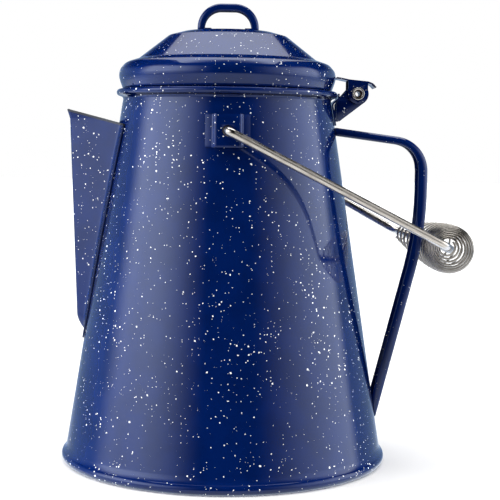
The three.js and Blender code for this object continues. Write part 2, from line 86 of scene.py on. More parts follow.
TAPER = 0.157  # wall radius gained per millimetre down
NECK_RADIUS = 58.7
NECK_Z = WALL_HIGH.z - 4.6
RIM_RADIUS = 62.5
RIM_TUBE = 1.9
FOOT_Z = 7.0
BEAD_TUBE = 3.2

HINGE = Vector(((PIN_LOW.x + PIN_HIGH.x) / 2, 0, (PIN_LOW.z + PIN_HIGH.z) / 2))
PIVOT_Z = 186.5
BAIL_WIRE = 2.2
BAIL_HEAD_Y = 65.4  # where the upset head starts, inside the lug
BAIL_HEAD_RADIUS = 3.7
BAIL_HEAD_DEPTH = 2.5
BAIL_SHOULDER_Y = 75.0
SHOULDER_BEND, GRIP_BEND = 4, 5  # reach of the wire's bends at the shoulders and at the grip
BAIL_GRIP = [(118.6, -50, 126.4), (127.6, 2, 121.4), (103.6, 50, 128.8)]  # ends and middle, askew
COIL_TURNS = 19.5
COIL_WIRE = 0.66
COIL_END_RADIUS = 4
COIL_MIDDLE_RADIUS = 13.6
COIL_MARGIN = 0.06  # share of the grip left bare at either end


def wall_radius(z):
    return NECK_RADIUS + TAPER * (NECK_Z - z)


# Lines


def arc(cx, cy, radius, start, end, steps):
    """Points on an arc, with its angles in degrees."""
    angles = [math.radians(start + (end - start) * i / steps) for i in range(steps + 1)]
    return [(cx + radius * math.cos(a), cy + radius * math.sin(a)) for a in angles]


def rounded(corners, steps=8):
    """A polyline of (x, y) or (x, y, corner radius), with its corners turned into arcs."""
    line = []
    for i, corner in enumerate(corners):
        here = Vector(corner[:2])
        if len(corner) < 3:
            line.append(tuple(here))
            continue
        back = (Vector(corners[i - 1][:2]) - here).normalized()
        ahead = (Vector(corners[i + 1][:2]) - here).normalized()
        half = math.acos(max(-1, min(1, back.dot(ahead)))) / 2
        centre = here + (back + ahead).normalized() * (corner[2] / math.sin(half))
        reach = corner[2] / math.tan(half)
        start = here + back * reach - centre
        end = here + ahead * reach - centre
        turn = math.atan2(start.x * end.y - start.y * end.x, start.dot(end))
        for k in range(steps + 1):
            turned = Matrix.Rotation(turn * k / steps, 2) @ start
            line.append(tuple(centre + turned))
    return line


def offset(line, distance):
    """The line moved to its right by a distance."""
    points = [Vector(p) for p in line]
    tangents = [(b - a).normalized() for a, b in zip(points, points[1:])]
    normals = [Vector((t.y, -t.x)) for t in tangents]
    moved = []
    for i, p in enumerate(points):
        before, after = normals[max(i - 1, 0)], normals[min(i, len(normals) - 1)]
        mitre = (before + after).normalized()
        moved.append(tuple(p + mitre * (distance / max(mitre.dot(after), 0.3))))
    return moved


def sheet_outline(line):
    """A closed outline for bent sheet: the line, and the same line moved to its right."""
    return offset(line, SHEET) + list(reversed(line))


def rounded_bar(left, right, low, high, radius, steps):
    """A closed rectangle with rounded corners, started halfway up its left side."""
    middle = (low + high) / 2
    corners = [(left, low), (right, low), (right, high), (left, high)]
    line = [(left, middle), *[(x, y, radius) for x, y in corners], (left, middle)]
    return rounded(line, steps)[:-1]


# Meshes


def linked(name, data):
    """A new object that is in the scene."""
    piece = bpy.data.objects.new(name, data)
    bpy.context.scene.collection.objects.link(piece)
    return piece


def new_mesh(name, vertices, faces):
    mesh = bpy.data.meshes.new(name)
    mesh.from_pydata([tuple(c * MM for c in v) for v in vertices], [], faces)
    return mesh


def new_object(name, vertices, faces):
    piece = linked(name, new_mesh(name, vertices, faces))
    clean(piece)
    return piece


def clean(piece):
    """Merges doubled points, drops faces without area and turns faces outwards."""
    merge = 1e-6
    bm = bmesh.new()
    bm.from_mesh(piece.data)
    bmesh.ops.remove_doubles(bm, verts=bm.verts, dist=merge)
    bmesh.ops.dissolve_degenerate(bm, edges=bm.edges, dist=merge)
    bmesh.ops.recalc_face_normals(bm, faces=bm.faces)
    bm.to_mesh(piece.data)
    bm.free()


def grid_faces(rows, columns, wrap_rows=False, wrap_columns=False):
    faces = []
    for i in range(rows if wrap_rows else rows - 1):
        for j in range(columns if wrap_columns else columns - 1):
            a, b = i * columns + j, i * columns + (j + 1) % columns
            c, d = (i + 1) % rows * columns + (j + 1) % columns, (i + 1) % rows * columns + j
            faces.append((a, b, c, d))
    return faces


def revolve(name, outline, segments=ROUND, about_y=None):
    """Revolves a closed (radius, height) outline about Z, or about a line along Y through a point."""
    vertices = []
    for i in range(segments):
        a = 2 * math.pi * i / segments
        for r, h in outline:
            if about_y is None:
                vertices.append((r * math.cos(a), r * math.sin(a), h))
            else:
                vertices.append((about_y.x + r * math.cos(a), h, about_y.z + r * math.sin(a)))
    return new_object(name, vertices, grid_faces(segments, len(outline), True, True))


def sector(name, outline, half_degrees):
    """Turns a closed (radius, height) outline a few degrees either side of +X and caps the ends."""
    vertices, steps = [], 8
    for i in range(steps + 1):
        a = math.radians(half_degrees * (2 * i / steps - 1))
        vertices += [(r * math.cos(a), r * math.sin(a), z) for r, z in outline]
    size = len(outline)
    caps = [tuple(range(size)), tuple(range(steps * size, (steps + 1) * size))]
    return new_object(name, vertices, grid_faces(steps + 1, size, False, True) + caps)


def plate(name, outline, y_low, y_high):
    """A flat plate with an outline in X and Z."""
    size = len(outline)
    vertices = [(x, y, z) for y in (y_low, y_high) for x, z in outline]
    caps = [tuple(range(size)), tuple(range(size, 2 * size))]
    return new_object(name, vertices, grid_faces(2, size, False, True) + caps)


def rod(name, radius, start, end, sides=SMALL_ROUND):
    """A cylinder from one point to another, used only to cut holes."""
    bm = bmesh.new()
    start, end = Vector(start) * MM, Vector(end) * MM
    along = end - start
    turn = along.to_track_quat("Z", "Y").to_matrix().to_4x4()
    bmesh.ops.create_cone(
        bm,
        cap_ends=True,
        segments=sides,
        radius1=radius * MM,
        radius2=radius * MM,
        depth=along.length,
        matrix=Matrix.Translation((start + end) / 2) @ turn,
    )
    mesh = bpy.data.meshes.new(name)
    bm.to_mesh(mesh)
    bm.free()
    return linked(name, mesh)


def wire(name, centres, radius, sides):
    """A round wire along a line of points, with a UV map: round the wire and along it."""
    points = [Vector(p) for p in centres]
    count = len(points)
    tangents = [(points[min(i + 1, count - 1)] - points[max(i - 1, 0)]).normalized() for i in range(count)]
    normal = tangents[0].orthogonal().normalized()
    vertices, lengths, travelled = [], [], 0.0
    for i, (p, t) in enumerate(zip(points, tangents)):
        if i:
            normal = (tangents[i - 1].rotation_difference(t) @ normal).normalized()
            travelled += (p - points[i - 1]).length
        side = t.cross(normal)
        lengths.append(travelled)
        for k in range(sides):
            a = 2 * math.pi * k / sides
            vertices.append(tuple(p + radius * (math.cos(a) * normal + math.sin(a) * side)))
    faces = grid_faces(count, sides, False, True)
    faces += [tuple(range(sides)), tuple(range((count - 1) * sides, count * sides))]
    mesh = new_mesh(name, vertices, faces)
    uv = mesh.uv_layers.new(name="along_wire")
    for face in mesh.polygons:
        wraps = any(mesh.loops[i].vertex_index % sides == sides - 1 for i in face.loop_indices)
        for i in face.loop_indices:
            index = mesh.loops[i].vertex_index
            turn = index % sides
            turn = sides if wraps and turn == 0 else turn
            uv.data[i].uv = (turn / sides, lengths[index // sides] / 10)
    bm = bmesh.new()
    bm.from_mesh(mesh)
    bmesh.ops.recalc_face_normals(bm, faces=bm.faces)
    bm.to_mesh(mesh)
    bm.free()
    return linked(name, mesh)


def apply(piece, kind, **settings):
    """Adds a modifier and applies it."""
    modifier = piece.modifiers.new(kind.lower(), kind)
    for key, value in settings.items():
        setattr(modifier, key, value)
    evaluated = piece.evaluated_get(bpy.context.evaluated_depsgraph_get())
    mesh = bpy.data.meshes.new_from_object(evaluated)
    piece.modifiers.clear()
    old, piece.data = piece.data, mesh
    bpy.data.meshes.remove(old)
    mesh.name = piece.name
    return piece


def combine(piece, others, operation):
    """Joins the others to the piece, or cuts them out of it, and removes them."""
    for other in others:
        apply(piece, "BOOLEAN", object=other, operation=operation, solver="EXACT")
        bpy.data.objects.remove(other)
    clean(piece)
    return piece


def thicken(piece):
    return apply(piece, "SOLIDIFY", thickness=SHEET * MM, offset=0, use_even_offset=True)


def soften_edges(piece, width=EDGE):
    """Rounds the sharp edges."""
    clean(piece)
    return apply(
        piece,
        "BEVEL",
        width=width * MM,
        segments=2,
        limit_method="ANGLE",
        angle_limit=math.radians(50),
    )


def complete(piece, body, material, node, sharp=38):
    """Smooths the shading, gives the piece its material and hangs it on its CAD body."""
    piece.data.shade_smooth()
    piece.data.set_sharp_from_angle(angle=math.radians(sharp))
    piece.data.materials.clear()
    piece.data.materials.append(material)
    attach(piece, body)
    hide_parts(node)


def paint(piece, mark, test):
    """Writes a number on every vertex: how bare of enamel an edge is, or how sparse its specks are."""
    values = piece.data.attributes.new(mark, "FLOAT", "POINT")
    for i, vertex in enumerate(piece.data.vertices):
        values.data[i].value = test(vertex.co / MM)


# Materials


class Graph:
    """A short way to write a node tree."""

    def __init__(self, tree):
        self.tree = tree
        tree.nodes.clear()

    def add(self, kind, settings=None, **inputs):
        node = self.tree.nodes.new(kind)
        for key, value in (settings or {}).items():
            setattr(node, key, value)
        for key, value in inputs.items():
            self.put(node.inputs[key.replace("_", " ")], value)
        return node

    def put(self, socket, value):
        if isinstance(value, bpy.types.NodeSocket):
            self.tree.links.new(value, socket)
        else:
            socket.default_value = value

    def math(self, operation, *values):
        node = self.tree.nodes.new("ShaderNodeMath")
        node.operation = operation
        for socket, value in zip(node.inputs, values):
            self.put(socket, value)
        return node.outputs[0]

    def times(self, one, other):
        return self.math("MULTIPLY", one, other)

    def plus(self, one, other):
        return self.math("ADD", one, other)

    def ramp(self, value, low, high, to_low=0.0, to_high=1.0, smooth=True):
        node = self.tree.nodes.new("ShaderNodeMapRange")
        node.interpolation_type = "SMOOTHSTEP" if smooth else "LINEAR"
        for name, number in zip(
            ("Value", "From Min", "From Max", "To Min", "To Max"), (value, low, high, to_low, to_high)
        ):
            self.put(node.inputs[name], number)
        return node.outputs["Result"]

    def noise(self, vector, scale, detail=2.0, roughness=0.5):
        node = self.add("ShaderNodeTexNoise", Vector=vector, Scale=scale, Detail=detail, Roughness=roughness)
        return node.outputs["Fac"]

    def mix(self, share, low, high):
        node = self.tree.nodes.new("ShaderNodeMix")
        node.data_type = "RGBA"
        sockets = [s for s in node.inputs if s.enabled]
        for socket, value in zip(sockets, (share, low, high)):
            self.put(socket, value)
        return [s for s in node.outputs if s.enabled][0]

    def bump(self, height, distance, strength=1.0, normal=None):
        node = self.add("ShaderNodeBump", Height=height, Distance=distance, Strength=strength)
        if normal is not None:
            self.put(node.inputs["Normal"], normal)
        return node.outputs["Normal"]


def new_material(name):
    material = bpy.data.materials.new(name)
    material.use_nodes = True
    graph = Graph(material.node_tree)
    shader = graph.add("ShaderNodeBsdfPrincipled")
    output = graph.add("ShaderNodeOutputMaterial")
    graph.tree.links.new(shader.outputs["BSDF"], output.inputs["Surface"])
    return material, graph, shader


NAVY = (0.0006, 0.0125, 0.107, 1)
NAVY_DEEP = (0.0005, 0.0105, 0.090, 1)
SPECK = (0.98, 0.99, 1.0, 1)
BARE_IRON = (0.020, 0.016, 0.014, 1)
# Spacing and largest radius in millimetres of each size of speck, and the share of places that hold one
SPECKS = [(3.1, 0.62, 0.5), (2.2, 0.45, 0.55), (1.7, 0.34, 0.55)]
SMALLEST_SPECK = 0.012  # largest radius left out, as a share of the spacing
FRAY_SCALE = 1400.0  # of the noise that frays the specks' edges
FRAY_REACH = 0.0007
ENAMEL_IOR = 1.62
ENAMEL_TINT = (0.68, 0.78, 1.0, 1)


def specks(graph, place):
    """White flecks of three sizes that thicken into clusters, each one a ragged dot."""
    rough = graph.add("ShaderNodeTexNoise", Vector=place, Scale=FRAY_SCALE, Detail=1.0).outputs["Color"]
    shift = graph.add("ShaderNodeVectorMath", {"operation": "SUBTRACT"})
    graph.put(shift.inputs[0], rough)
    shift.inputs[1].default_value = (0.5, 0.5, 0.5)
    small = graph.add("ShaderNodeVectorMath", {"operation": "SCALE"}, Scale=FRAY_REACH)
    graph.put(small.inputs[0], shift.outputs[0])
    ragged = graph.add("ShaderNodeVectorMath", {"operation": "ADD"})
    graph.put(ragged.inputs[0], place)
    graph.put(ragged.inputs[1], small.outputs[0])
    crowd = graph.ramp(graph.noise(place, 42.0, 2.0), 0.36, 0.62, 0.65, 1.1)
    sparse = graph.add("ShaderNodeAttribute", {"attribute_name": "sparse"}).outputs["Fac"]
    crowd = graph.times(crowd, graph.ramp(sparse, 0.0, 1.0, 1.0, 0.6))
    total = None
    for spacing, radius, share in SPECKS:
        cells = graph.add("ShaderNodeTexVoronoi", Vector=ragged.outputs[0], Scale=1 / (spacing * MM))
        chance = graph.add("ShaderNodeSeparateColor", Color=cells.outputs["Color"]).outputs["Red"]
        size = graph.ramp(chance, 1 - share, 1.0, 0.0, radius / spacing, smooth=False)
        size = graph.times(size, crowd)
        dot = graph.ramp(cells.outputs["Distance"], size, graph.times(size, 0.75))
        dot = graph.times(dot, graph.math("GREATER_THAN", size, SMALLEST_SPECK))
        total = dot if total is None else graph.math("MAXIMUM", total, dot)
    return total


def speckled_enamel():
    """Navy vitreous enamel: a glassy coat with a faint orange peel, and white flecks fired into it."""
    material, graph, shader = new_material("speckled_enamel")
    place = graph.add("ShaderNodeTexCoord").outputs["Object"]
    dots = specks(graph, place)
    ground = graph.mix(graph.ramp(graph.noise(place, 60.0, 3.0), 0.35, 0.65), NAVY, NAVY_DEEP)
    colour = graph.mix(dots, ground, SPECK)
    bare = graph.add("ShaderNodeAttribute", {"attribute_name": "bare"}).outputs["Fac"]
    graph.put(shader.inputs["Base Color"], graph.mix(bare, colour, BARE_IRON))
    gloss = graph.ramp(graph.noise(place, 240.0, 2.0), 0.3, 0.7, 0.06, 0.11)
    graph.put(shader.inputs["Roughness"], graph.plus(gloss, graph.times(bare, 0.3)))
    shader.inputs["IOR"].default_value = ENAMEL_IOR
    shader.inputs["Specular Tint"].default_value = ENAMEL_TINT
    peel = graph.bump(graph.noise(place, 170.0, 2.0), 0.00003, 0.5)
    graph.put(shader.inputs["Normal"], graph.bump(dots, 0.00002, 0.5, peel))
    return material


def drawn_steel(name, low, high, dull):
    """Bright drawn wire, with fine lines along it and a little tarnish."""
    material, graph, shader = new_material(name)
    coordinates = graph.add("ShaderNodeTexCoord")
    along = graph.add("ShaderNodeMapping", Vector=coordinates.outputs["UV"], Scale=(26.0, 1.2, 1.0))
    lines = graph.noise(along.outputs[0], 1.0, 3.0, 0.6)
    patches = graph.noise(coordinates.outputs["Object"], 130.0, 3.0)
    tone = graph.mix(graph.ramp(lines, 0.35, 0.65), low, high)
    tarnish = graph.ramp(patches, 0.55, 0.75, 0.0, 0.5)
    graph.put(shader.inputs["Base Color"], graph.mix(tarnish, tone, dull))
    graph.put(shader.inputs["Roughness"], graph.ramp(patches, 0.3, 0.7, 0.2, 0.34))
    shader.inputs["Metallic"].default_value = 1.0
    graph.put(shader.inputs["Normal"], graph.bump(lines, 0.00004, 0.6))
    return material


def rivet_steel():
    """Plated steel, scuffed on its face and tarnished brown down the hole."""
    material, graph, shader = new_material("rivet_steel")
    place = graph.add("ShaderNodeTexCoord").outputs["Object"]
    parts = graph.add("ShaderNodeSeparateXYZ", Vector=place)
    dx = graph.math("SUBTRACT", parts.outputs["X"], HINGE.x * MM)
    dz = graph.math("SUBTRACT", parts.outputs["Z"], HINGE.z * MM)
    radius = graph.math("SQRT", graph.plus(graph.math("POWER", dx, 2.0), graph.math("POWER", dz, 2.0)))
    hole = graph.ramp(radius, 0.0027, 0.0017)
    scuffs = graph.noise(place, 900.0, 4.0, 0.7)
    face = graph.mix(scuffs, (0.56, 0.53, 0.48, 1), (0.86, 0.84, 0.80, 1))
    graph.put(shader.inputs["Base Color"], graph.mix(hole, face, (0.22, 0.13, 0.05, 1)))
    graph.put(shader.inputs["Roughness"], graph.ramp(scuffs, 0.3, 0.7, 0.2, 0.38))
    shader.inputs["Metallic"].default_value = 1.0
    graph.put(shader.inputs["Normal"], graph.bump(scuffs, 0.00003, 0.5))
    return material


def spun_aluminium():
    """Aluminium spun on a lathe, with fine rings and a dull bloom."""
    material, graph, shader = new_material("spun_aluminium")
    place = graph.add("ShaderNodeTexCoord").outputs["Object"]
    rings = graph.add(
        "ShaderNodeTexWave",
        {"wave_type": "RINGS", "rings_direction": "Z"},
        Vector=place,
        Scale=420.0,
        Distortion=1.2,
        Detail=3.0,
    ).outputs["Fac"]
    bloom = graph.noise(place, 90.0, 4.0, 0.6)
    graph.put(shader.inputs["Base Color"], graph.mix(bloom, (0.62, 0.63, 0.64, 1), (0.83, 0.83, 0.82, 1)))
    graph.put(shader.inputs["Roughness"], graph.ramp(bloom, 0.3, 0.7, 0.28, 0.46))
    shader.inputs["Metallic"].default_value = 1.0
    graph.put(shader.inputs["Normal"], graph.bump(rings, 0.00002, 0.5))
    return material


ENAMEL = speckled_enamel()
WIRE_STEEL = drawn_steel("drawn_steel", (0.62, 0.575, 0.52, 1), (0.84, 0.80, 0.745, 1), (0.46, 0.40, 0.34, 1))
# The coil's copy of the drawn steel is painted darker: painted shade standing in for the dark gaps between
# the coil's rings.
SHADED_COIL_STEEL = drawn_steel("drawn_steel_painted_shade", (0.36, 0.335, 0.30, 1), (0.56, 0.53, 0.49, 1), (0.26, 0.23, 0.19, 1))
RIVET_STEEL = rivet_steel()
ALUMINIUM = spun_aluminium()


def enamelled(piece, body, node):
    complete(piece, body, ENAMEL, node)


# Pot


STRAINER_ROWS, SINGLE_ROWS = 9, 3  # the lowest rows have one hole, the others three
STRAINER_LOW, STRAINER_PITCH = 98, 10
STRAINER_SPREAD = 5.5  # degrees from hole to hole
STRAINER_HOLE = 2.1
PUNCH_REACH = 4  # how far a punch passes the wall on either side


def strainer_cutters():
    """Rows of punched holes through the wall behind the spout."""
    cutters = []
    for row in range(STRAINER_ROWS):
        z = STRAINER_LOW + STRAINER_PITCH * row
        for angle in [0] if row < SINGLE_ROWS else [-STRAINER_SPREAD, 0, STRAINER_SPREAD]:
            a = math.radians(180 + angle)
            near, far = wall_radius(z) - PUNCH_REACH, wall_radius(z) + PUNCH_REACH
            ends = [(r * math.cos(a), r * math.sin(a), z) for r in (near, far)]
            cutters.append(rod(f"punch_{len(cutters)}", STRAINER_HOLE, *ends, sides=20))
    return cutters


def pot_wall():
    """The tapered wall, its foot turned out inside the seam and its rim rolled over."""
    rim_x, rim_z = RIM_RADIUS - RIM_TUBE, WALL_HIGH.z - RIM_TUBE
    foot_edge, foot_low = 90.4, 2.4
    outer = rounded(
        [
            (88.7, foot_low),
            (foot_edge, foot_low, 0.3),
            (foot_edge, 4.6),
            (91.5, 5.4),
            (wall_radius(FOOT_Z) + 0.2, FOOT_Z, 9),
            (NECK_RADIUS, NECK_Z, 1.6),
            (rim_x, rim_z - RIM_TUBE),
        ]
    )
    roll = arc(rim_x, rim_z, RIM_TUBE, -78, 90, 14)
    inner = rounded(
        [
            (rim_x, WALL_HIGH.z),
            (NECK_RADIUS - 0.2, WALL_HIGH.z, 0.8),
            (NECK_RADIUS - SHEET, NECK_Z, 2),
            (wall_radius(FOOT_Z) - SHEET, FOOT_Z),
            (88.8, 4.4),
        ]
    )
    piece = revolve("enamelled_wall", outer[:-1] + roll + inner[1:])
    combine(piece, strainer_cutters(), "DIFFERENCE")
    enamelled(piece, "pot", "body_wall")


def pot_bottom():
    """The pan seamed on to the wall's foot, its rolled bead and its pressed stiffening ring."""
    centre = PAN_HIGH.x - BEAD_TUBE
    ring_in, ring_out, ring_height = 67.4, 69.6, 1.1
    under = rounded(
        [
            (0, 0),
            (65.6, 0, 2),
            (ring_in, ring_height, 2),
            (ring_out, ring_height, 2),
            (71.4, 0, 2),
            (centre, 0),
        ]
    )
    bead = arc(centre, BEAD_TUBE, BEAD_TUBE, -90, 66, 22)
    curl = arc(centre, BEAD_TUBE, BEAD_TUBE - SHEET, 66, -90, 14)
    top = rounded(
        [(centre, SHEET), (71, SHEET, 2), (ring_out, 2, 2), (ring_in, 2, 2), (65.6, SHEET, 2), (0, SHEET)]
    )
    piece = revolve("seamed_bottom", under[:-1] + bead + curl + top[1:])
    enamelled(piece, "pot", "bottom_pan")


KNUCKLE_Z, ROOT_Z, BEAK_Z = 83.0, 72.0, 193.0  # heights where the spout's front edge changes course
KNUCKLE_X, SPOUT_LEAN, BEAK_FLARE = 84.7, 0.0385, 0.33
NOSE_RADIUS = 3.0
ROOT_CURL = 5.2  # how far the front edge turns in at the root
SPOUT_ROOT_HALF, SPOUT_SPREAD = 10.5, 15.3  # half width at the root, and what it gains up to the top
SPOUT_FLANGE = 0.5
SPOUT_BEND = 2.2
WORN_FROM, WORN_TO = 1.4, 1.8  # depth below the top edge where the enamel thins out
SPOUT_HEEL = (60.3, 191.2)  # where the spout's top edge meets the wall


def spout_front(z):
    """Distance of the spout's front edge from the axis."""
    if z > BEAK_Z:
        return spout_front(BEAK_Z) + BEAK_FLARE * (z - BEAK_Z)
    if z > KNUCKLE_Z:
        return KNUCKLE_X + SPOUT_LEAN * (z - KNUCKLE_Z)
    drop = (KNUCKLE_Z - z) / (KNUCKLE_Z - ROOT_Z)
    return max(KNUCKLE_X - ROOT_CURL * drop * drop, wall_radius(z) - 1)


def spout_row(z):
    """One level of the folded sheet's middle surface: flange, bend, side, nose, and the same again."""
    up = max(0, min(1, (z - ROOT_Z) / (SPOUT_HIGH.z - ROOT_Z)))
    half = SPOUT_ROOT_HALF + SPOUT_SPREAD * up - SHEET / 2
    on_wall = wall_radius(z) + GAP + SHEET / 2
    nose_radius = NOSE_RADIUS - SHEET / 2
    nose = Vector((spout_front(z) - NOSE_RADIUS, 0))
    back = Vector((wall_radius(z) - 8, half))
    to_back = back - nose
    swing = math.acos(min(1, nose_radius / to_back.length))
    tangent_angle = math.atan2(to_back.y, to_back.x) - swing
    tangent = nose + nose_radius * Vector((math.cos(tangent_angle), math.sin(tangent_angle)))
    low, high = 0.0, 1.0
    for _ in range(30):
        middle = (low + high) / 2
        low, high = (middle, high) if back.lerp(tangent, middle).length < on_wall else (low, middle)
    join = back.lerp(tangent, high)
    reach = min(SPOUT_BEND, (tangent - join).length * 0.6)
    below = max(0, (ROOT_Z - z) / (ROOT_Z - SPOUT_LOW.z))
    shrink = math.sqrt(max(0.01, 1 - below * below))
    edge_angle = math.asin((half + SPOUT_FLANGE) * shrink / on_wall)
    join_angle = min(edge_angle, math.atan2(join.y, join.x))
    bend_angle = min(edge_angle, join_angle + reach / on_wall)
    flange = [on_wall * Vector((math.cos(a), math.sin(a))) for a in spread(edge_angle, bend_angle, 4)]
    after = join + (tangent - join).normalized() * reach if reach > 1e-3 else join
    bend = [quadratic(flange[-1], join, after, k / 6) for k in range(1, 7)]
    side = [after.lerp(tangent, k / 5) for k in range(1, 6)]
    nose_arc = arc(nose.x, nose.y, nose_radius, math.degrees(tangent_angle), 0, 8)[1:]
    line = []
    for point in flange + bend + side + [Vector(p) for p in nose_arc]:
        distance = max(point.length, on_wall)
        angle = min(math.atan2(point.y, point.x), edge_angle)
        line.append(distance * Vector((math.cos(angle), math.sin(angle))))
    mirrored = [Vector((p.x, -p.y)) for p in reversed(line[:-1])]
    return [(-p.x, p.y, z) for p in line + mirrored]


def spread(start, end, steps):
    return [start + (end - start) * k / steps for k in range(steps + 1)]


def quadratic(a, b, c, t):
    return a * (1 - t) ** 2 + b * 2 * t * (1 - t) + c * t * t


def spout():
    """A triangular spout folded from one sheet, welded to the wall by its flanges."""
    above_top = SPOUT_HIGH.z + 2.1
    levels = spread(SPOUT_LOW.z + 3, KNUCKLE_Z, 24)
    levels += spread(KNUCKLE_Z, BEAK_Z, 22)[1:] + spread(BEAK_Z, above_top, 8)[1:]
    rows = [spout_row(z) for z in levels]
    vertices = [p for row in rows for p in row]
    piece = new_object("folded_spout", vertices, grid_faces(len(rows), len(rows[0])))
    slope = (SPOUT_HIGH.z - SPOUT_HEEL[1]) / (-SPOUT_LOW.x - SPOUT_HEEL[0])
    bm = bmesh.new()
    bm.from_mesh(piece.data)
    for drop in (SHEET / 2, WORN_FROM, WORN_TO):
        bmesh.ops.bisect_plane(
            bm,
            geom=bm.verts[:] + bm.edges[:] + bm.faces[:],
            plane_co=Vector((-SPOUT_HEEL[0], 0, SPOUT_HEEL[1] - drop)) * MM,
            plane_no=Vector((slope, 0, 1)),
            clear_outer=drop == SHEET / 2,
        )
    bm.to_mesh(piece.data)
    bm.free()
    soften_edges(thicken(piece))

    def near_top(point):
        height = SPOUT_HEEL[1] + slope * (-point.x - SPOUT_HEEL[0])
        return max(0, min(1, (point.z - height + 1.85) / 0.4))

    paint(piece, "bare", near_top)
    enamelled(piece, "pot", "spout_shell")


def channel(name, path, half_width, depth, bend, outside, deepen=lambda z: 1.0):
    """A channel of bent sheet along a path in X and Z, open to its right, with its ends trimmed."""
    middle = SHEET / 2
    flat = rounded(
        [
            (depth, -half_width + middle),
            (middle, -half_width + middle, bend),
            (middle, half_width - middle, bend),
            (depth, half_width - middle),
        ],
        5,
    )
    lines = []
    for d, y in flat:
        line = []
        for (x, z), (inner_x, inner_z) in zip(path, offset(path, d)):
            grow = deepen(z) if d > middle else 1.0
            line.append(Vector((x + (inner_x - x) * grow, y, z + (inner_z - z) * grow)))
        line[0] = trimmed(line[0], line[1], outside)
        line[-1] = trimmed(line[-1], line[-2], outside)
        lines.append(line)
    rows = len(path)
    vertices = [tuple(line[i]) for i in range(rows) for line in lines]
    piece = new_object(name, vertices, grid_faces(rows, len(flat)))
    return soften_edges(thicken(piece), PRESSED_EDGE)


def trimmed(hidden, free, outside):
    """The point between a hidden end and a free one where the line comes out."""
    low, high = 0.0, 1.0
    for _ in range(40):
        middle = (low + high) / 2
        low, high = (low, middle) if outside(hidden.lerp(free, middle)) else (middle, high)
    return hidden.lerp(free, high)


def clear_of_wall(point):
    return math.hypot(point.x, point.y) > wall_radius(point.z) + GAP


def side_handle():
    """A strap pressed into a channel, deeper down its upright, both ends welded to the wall."""
    right, top = HANDLE_HIGH.x, HANDLE_HIGH.z
    knee_z, elbow_z, foot = 183, 131, Vector((88.2, HANDLE_LOW.z))
    depth, bend, past_wall = 4.4, 2.2, 5
    run = (right - foot.x) / (elbow_z - foot.y)
    hidden = (foot.x - past_wall * run, foot.y - past_wall)
    corners = [(50, top + 1.4), (right, knee_z, 20), (right, elbow_z, 200), hidden]

    def deepen(z):
        return 1.0 + 0.3 * max(0, min(1, (knee_z - z) / 14))

    path = rounded(corners, 24)
    piece = channel("channel_handle", path, HANDLE_HIGH.y, depth, bend, clear_of_wall, deepen)
    paint(piece, "sparse", lambda p: 1.0)
    enamelled(piece, "pot", "side_handle")


LUG_FLANGE = 4
LUG_HOLE = 2.8
HINGE_HOLE = 2.9  # in the bracket's arms and the strap's ears


def lug_row(z):
    """One level of a lug's hat section, listed along +X, on the -Y side."""
    on_wall = wall_radius(z) + GAP + SHEET / 2
    half, face = LUG_HIGH.x - LUG_FLANGE - SHEET / 2, -LUG_LOW.y - SHEET / 2

    def at(x):
        return -math.sqrt(on_wall**2 - x * x)

    corners = [
        (-LUG_HIGH.x, at(LUG_HIGH.x)),
        (-half, at(half), 1.3),
        (-half, -face, 1.9),
        (half, -face, 1.9),
        (half, at(half), 1.3),
        (LUG_HIGH.x, at(LUG_HIGH.x)),
    ]
    return [(x, y, z) for x, y in rounded(corners, 6)]


def lug(name, node, turned):
    """A hat-section lug welded to the wall, bored for the bail."""
    rows = [lug_row(z) for z in spread(LUG_LOW.z + 0.5, LUG_HIGH.z, 10)]
    piece = new_object(name, [p for row in rows for p in row], grid_faces(len(rows), len(rows[0])))
    thicken(piece)
    hole = rod("lug_drill", LUG_HOLE, (0, LUG_LOW.y - 5, PIVOT_Z), (0, LUG_LOW.y + 3, PIVOT_Z))
    soften_edges(combine(piece, [hole], "DIFFERENCE"), PRESSED_EDGE)
    if turned:
        piece.data.transform(Matrix.Rotation(math.pi, 4, "Z"))
    enamelled(piece, "pot", node)


def hinge_drill(name):
    """The cutter for the rivet's hole, through everything on the hinge."""
    return rod(name, HINGE_HOLE, (HINGE.x, -12, HINGE.z), (HINGE.x, 12, HINGE.z))


def rim_bracket():
    """A plate welded to the neck and hooked over the rim, with two arms that carry the rivet."""
    over_rim = RIM_RADIUS + GAP + SHEET
    line = rounded(
        [
            (wall_radius(191) + GAP + SHEET, 191),
            (wall_radius(203) + GAP + SHEET, 203, 2),
            (over_rim, 205.6, 1.5),
            (over_rim, 208.8),
        ]
    )
    piece = sector("rim_bracket", sheet_outline(list(reversed(line))), 8.4)
    nose, outside = 6.2, 6.2
    outline = [(61.4, 203), (61.9, 193.6), (63.4, 193.3)]
    outline += [*arc(HINGE.x, HINGE.z, nose, -56, 124, 28), (64.1, 207.2)]
    sides = enumerate((-outside, outside - SHEET))
    arms = [plate(f"bracket_arm_{i}", outline, y, y + SHEET) for i, y in sides]
    combine(piece, arms, "UNION")
    soften_edges(combine(piece, [hinge_drill("arm_drill")], "DIFFERENCE"), 0.22)
    enamelled(piece, "pot", "hinge_bracket")


def hinge_rivet():
    """A hollow rivet, its ends spun over into dished heads."""
    end = PIN_HIGH.y
    half, shank, head, bore = end - 0.9, 2.55, PIN_HIGH.x - HINGE.x, 1.5
    brow = arc(head - 0.45, half + 0.45, 0.45, 0, 90, 5)
    top = [(shank, half), (head, half), *brow, (2.6, end - 0.02)]
    top += [(2.2, end - 0.35), (1.8, end - 0.9), (bore, end - 2)]
    bottom = [(r, -y) for r, y in reversed(top)]
    piece = revolve("hollow_rivet", bottom + top, SMALL_ROUND, about_y=HINGE)
    complete(piece, "pot", RIVET_STEEL, "hinge_pin", sharp=60)


# Lid


